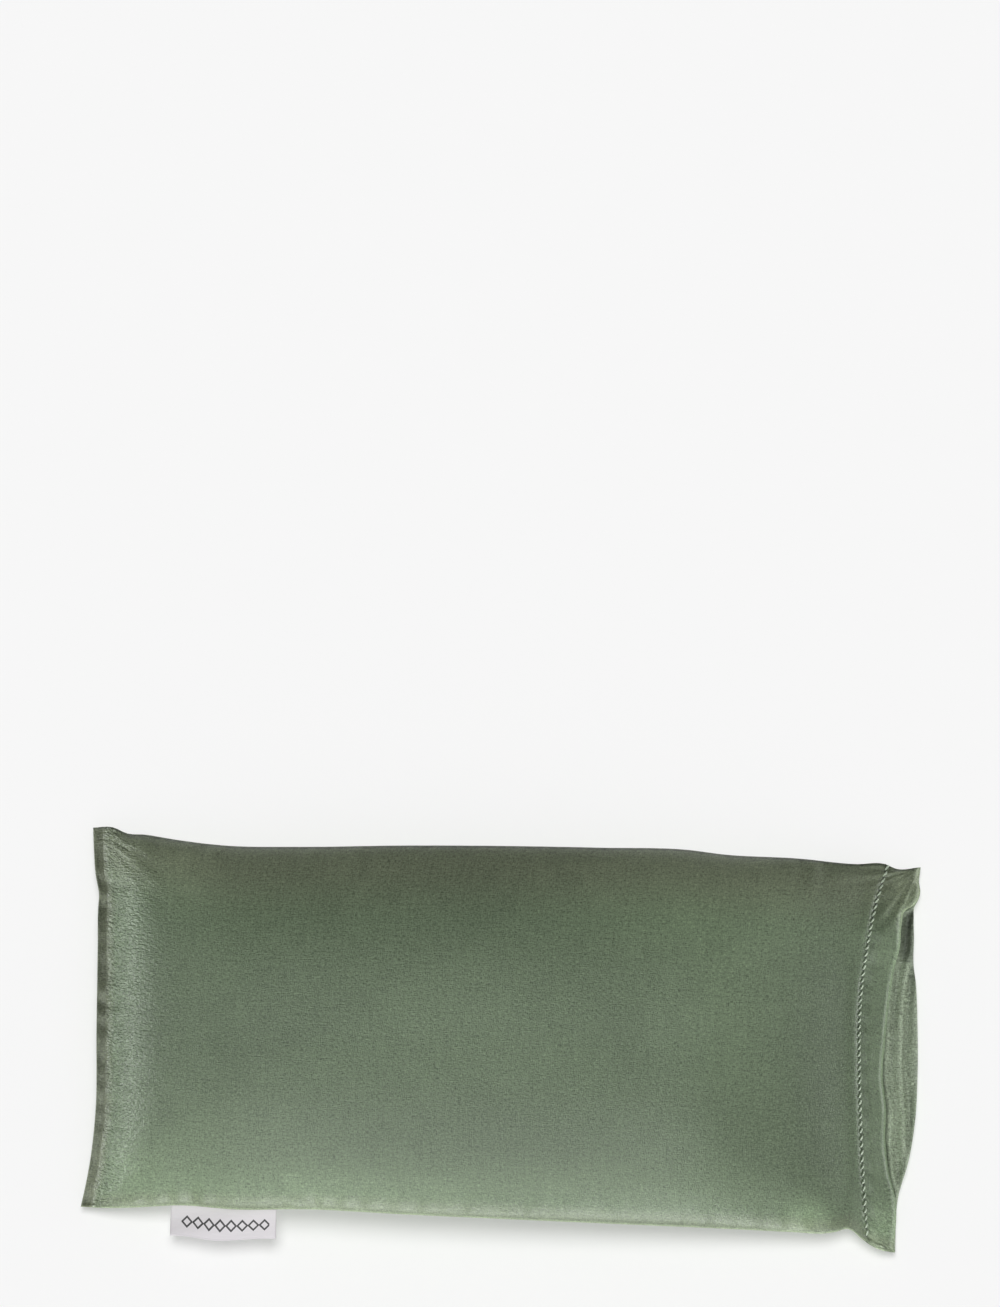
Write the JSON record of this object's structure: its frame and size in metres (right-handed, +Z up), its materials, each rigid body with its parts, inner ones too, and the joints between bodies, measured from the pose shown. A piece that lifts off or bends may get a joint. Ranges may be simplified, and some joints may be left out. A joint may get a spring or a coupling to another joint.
{
  "type": "eye pillow",
  "caption": "Flat rectangular eye pillow: a satin cover open at one short end, with a label in its side seam, over a seed-filled cotton inner pillow that slides out.",
  "frame": {"origin": "middle of the flat underside of the cover, on the surface that the pillow rests on", "axes": "+X along the length towards the open mouth of the cover, -Y towards the long side with the label, +Z up"},
  "size_m": [0.23, 0.1151, 0.0253],
  "materials": {
    "satin": "satin",
    "satin_thread": "satin",
    "label_tape": "satin",
    "cotton": "matte",
    "cotton_thread": "matte",
    "linseed": "satin"
  },
  "bodies": {
    "cover": {"cover_top_panel": "satin", "cover_bottom_panel": "satin", "cover_seam_needle_thread": "satin_thread", "cover_seam_bobbin_thread": "satin_thread", "top_hem_needle_thread": "satin_thread", "top_hem_bobbin_thread": "satin_thread", "bottom_hem_needle_thread": "satin_thread", "bottom_hem_bobbin_thread": "satin_thread"},
    "label": {"woven_label": "label_tape"},
    "inner_pillow": {"inner_top_panel": "cotton", "inner_bottom_panel": "cotton", "inner_seam_needle_thread": "cotton_thread", "inner_seam_bobbin_thread": "cotton_thread", "closing_seam_needle_thread": "cotton_thread", "closing_seam_bobbin_thread": "cotton_thread", "linseed_fill": "linseed"}
  },
  "joints": [
    {"name": "inner_slide", "type": "slide", "parent": "cover", "child": "inner_pillow", "axis": [1, 0, 0], "range_m": [0, 0.24]},
    {"name": "label_flip", "type": "hinge", "parent": "cover", "child": "label", "pos_m": [-0.077, -0.0519, 0.01], "axis": [1, 0, 0], "range_deg": [-85, 20]}
  ]
}
